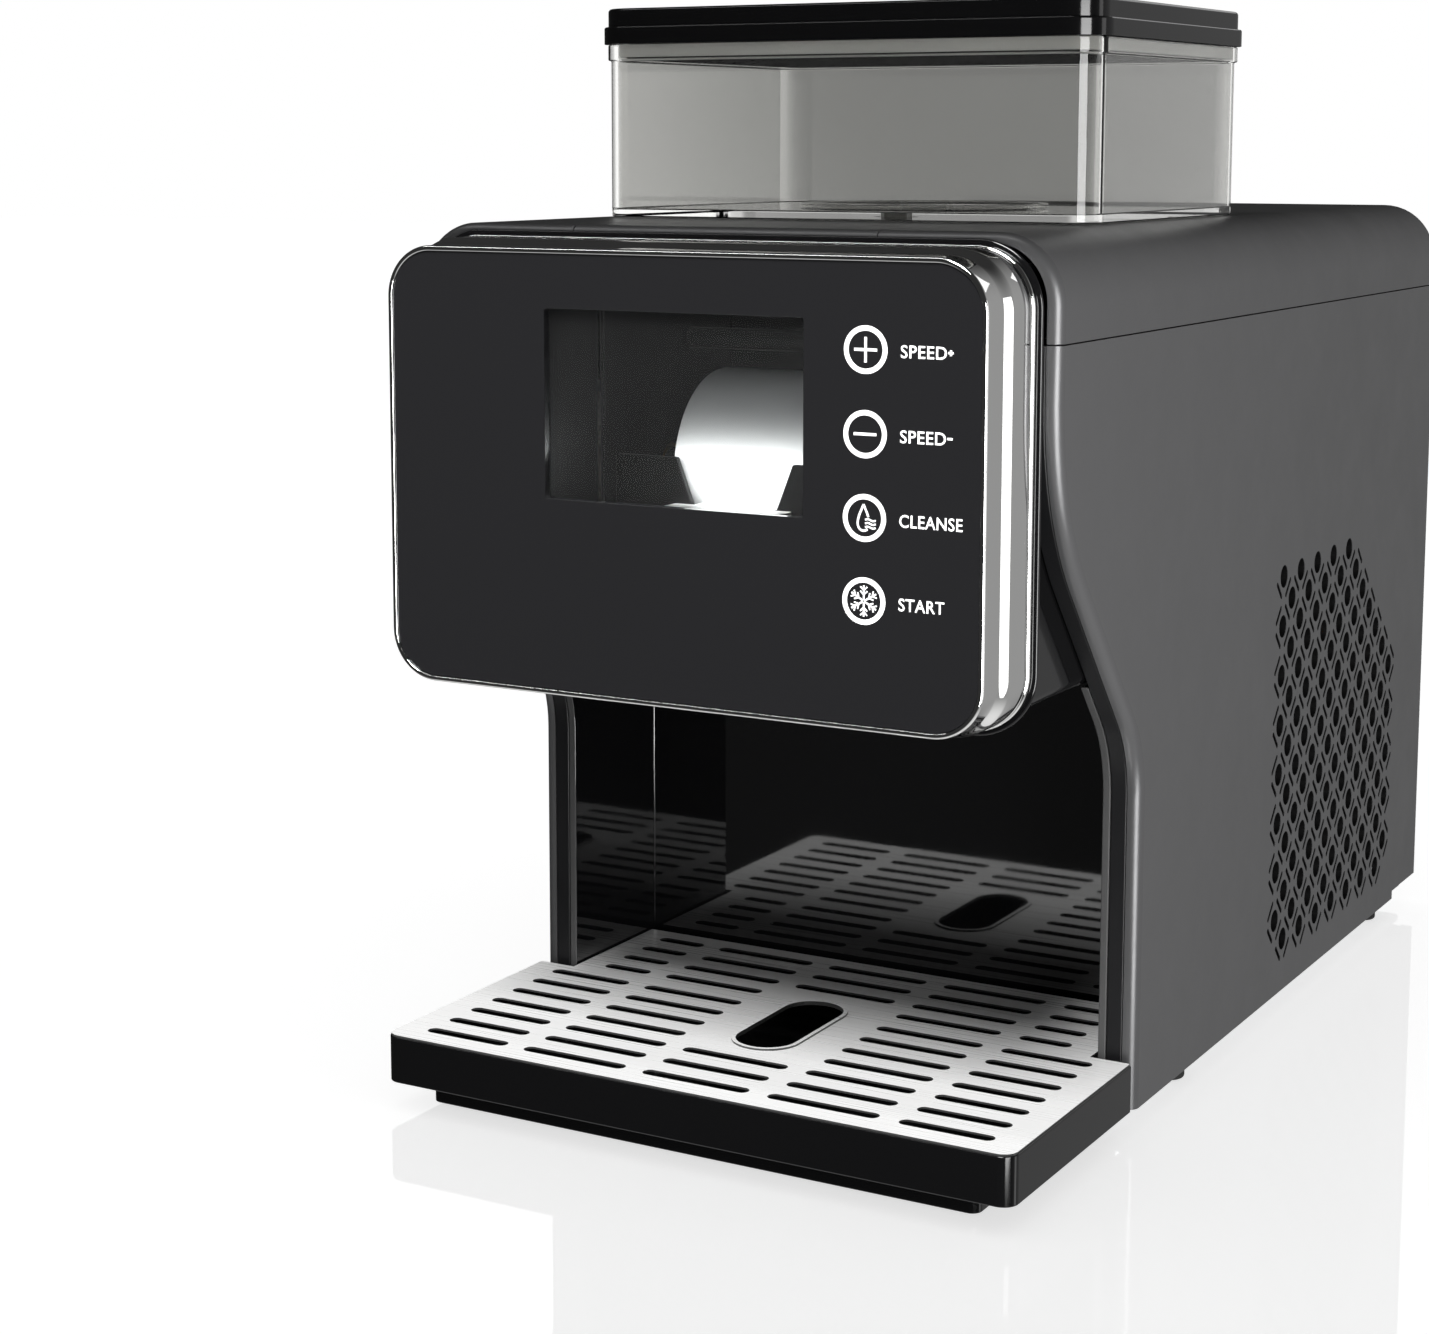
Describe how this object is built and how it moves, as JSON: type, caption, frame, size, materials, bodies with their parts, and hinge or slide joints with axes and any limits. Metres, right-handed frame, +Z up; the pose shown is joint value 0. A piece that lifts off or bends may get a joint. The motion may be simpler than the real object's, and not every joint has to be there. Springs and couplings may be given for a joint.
{
  "type": "ice maker",
  "caption": "Countertop snow-ice maker: lidded water tank, drum seen through the front window, chute over a bowl bay, drip tray, vented side panels.",
  "frame": {"origin": "middle of the overall box, on the surface that the feet stand on", "axes": "+Z up, +X to the right of someone who faces the front, the front faces -Y"},
  "size_m": [0.26, 0.488, 0.4168],
  "materials": {
    "graphite": "satin dark graphite paint",
    "graphite_plastic": "satin dark graphite",
    "black_gloss": "polished black",
    "liner_gloss": "mirror-smooth black",
    "black_matte": "fine matte black",
    "front_glass": "polished dark grey",
    "clear_pane": "clear, polished",
    "chrome": "bright satin chrome",
    "stainless": "brushed",
    "galvanised": "plain zinc",
    "smoky_plastic": "smoky, see-through",
    "drum_metal": "satin",
    "shaft_steel": "ground",
    "bronze": "sintered",
    "gear_plastic": "natural acetal",
    "white_plastic": "plain white",
    "silicone": "translucent silicone",
    "rubber": "matte black",
    "copper": "drawn copper",
    "fin_aluminium": "plain",
    "compressor_paint": "black paint",
    "board": "green circuit board",
    "lamp": "frosted white"
  },
  "bodies": {
    "casing": {"base_plate": "galvanised", "feet": "rubber", "left_side_panel": "graphite", "right_side_panel": "graphite", "top_cover": "graphite_plastic", "top_insert": "graphite_plastic", "neck_trims": "black_matte", "bay_liner": "liner_gloss", "head_housing": "black_gloss", "bulkhead": "galvanised", "rear_cover": "graphite", "rear_screws": "shaft_steel", "bezel": "chrome", "trim_ring": "black_gloss", "front_panel": "front_glass", "window_pane": "clear_pane", "panel_carrier": "black_matte", "window_tunnel": "black_matte", "control_board": "board", "drum_chamber": "black_matte", "drum_bearings": "bronze", "drum_motor": "galvanised", "motor_bracket": "galvanised", "rotary_union": "bronze", "scraper_holder": "black_matte", "scraper_blade": "stainless", "snow_chute": "black_matte", "distributor_pipe": "black_matte", "feed_pump": "white_plastic", "feed_hose": "silicone", "drum_lamp": "lamp", "outlet_socket": "white_plastic", "compressor": "compressor_paint", "compressor_mounts": "rubber", "condenser": "fin_aluminium", "fan_shroud": "galvanised", "fan_motor": "galvanised", "suction_line": "copper", "filter_drier": "copper", "liquid_line": "copper", "capillary": "copper", "power_supply": "galvanised", "main_board": "board", "power_inlet": "black_matte", "switch_housing": "black_matte"},
    "drum": {"drum_shell": "drum_metal", "drum_end_caps": "black_matte", "drum_shaft": "shaft_steel", "driven_gear": "gear_plastic"},
    "pinion": {"drive_gear": "gear_plastic", "motor_shaft": "shaft_steel"},
    "fan": {"fan_rotor": "black_matte"},
    "pump": {"pump_rotor": "white_plastic"},
    "tank": {"tank": "smoky_plastic", "outlet_valve": "silicone"},
    "lid": {"tank_lid": "black_gloss", "lid_seal": "silicone"},
    "tray": {"drip_tray": "black_gloss"},
    "grille": {"drip_grille": "stainless"},
    "switch": {"rocker": "black_gloss"}
  },
  "joints": [
    {"name": "drum_spin", "type": "hinge", "parent": "casing", "child": "drum", "pos_m": [0, -0.157, 0.244], "axis": [1, 0, 0], "continuous": true},
    {"name": "pinion_spin", "type": "hinge", "parent": "casing", "child": "pinion", "pos_m": [-0.07, -0.117, 0.244], "axis": [1, 0, 0], "continuous": true},
    {"name": "fan_spin", "type": "hinge", "parent": "casing", "child": "fan", "pos_m": [0.074, 0.112, 0.093], "axis": [1, 0, 0], "continuous": true},
    {"name": "pump_spin", "type": "hinge", "parent": "casing", "child": "pump", "pos_m": [0, -0.095, 0.286], "axis": [0, 1, 0], "continuous": true},
    {"name": "tank_lift", "type": "slide", "parent": "casing", "child": "tank", "axis": [0, 0, 1], "range_m": [0, 0.06]},
    {"name": "lid_lift", "type": "slide", "parent": "tank", "child": "lid", "axis": [0, 0, 1], "range_m": [0, 0.06]},
    {"name": "tray_slide", "type": "slide", "parent": "casing", "child": "tray", "axis": [0, -1, 0], "range_m": [0, 0.18]},
    {"name": "grille_lift", "type": "slide", "parent": "tray", "child": "grille", "axis": [0, 0, 1], "range_m": [0, 0.05]},
    {"name": "rocker_tilt", "type": "hinge", "parent": "casing", "child": "switch", "pos_m": [-0.087, 0.2382, 0.081], "axis": [1, 0, 0], "range_deg": [0, 18]}
  ],
  "couplings": [
    {"joint": "pinion_spin", "follows": "drum_spin", "ratio": -3}
  ]
}
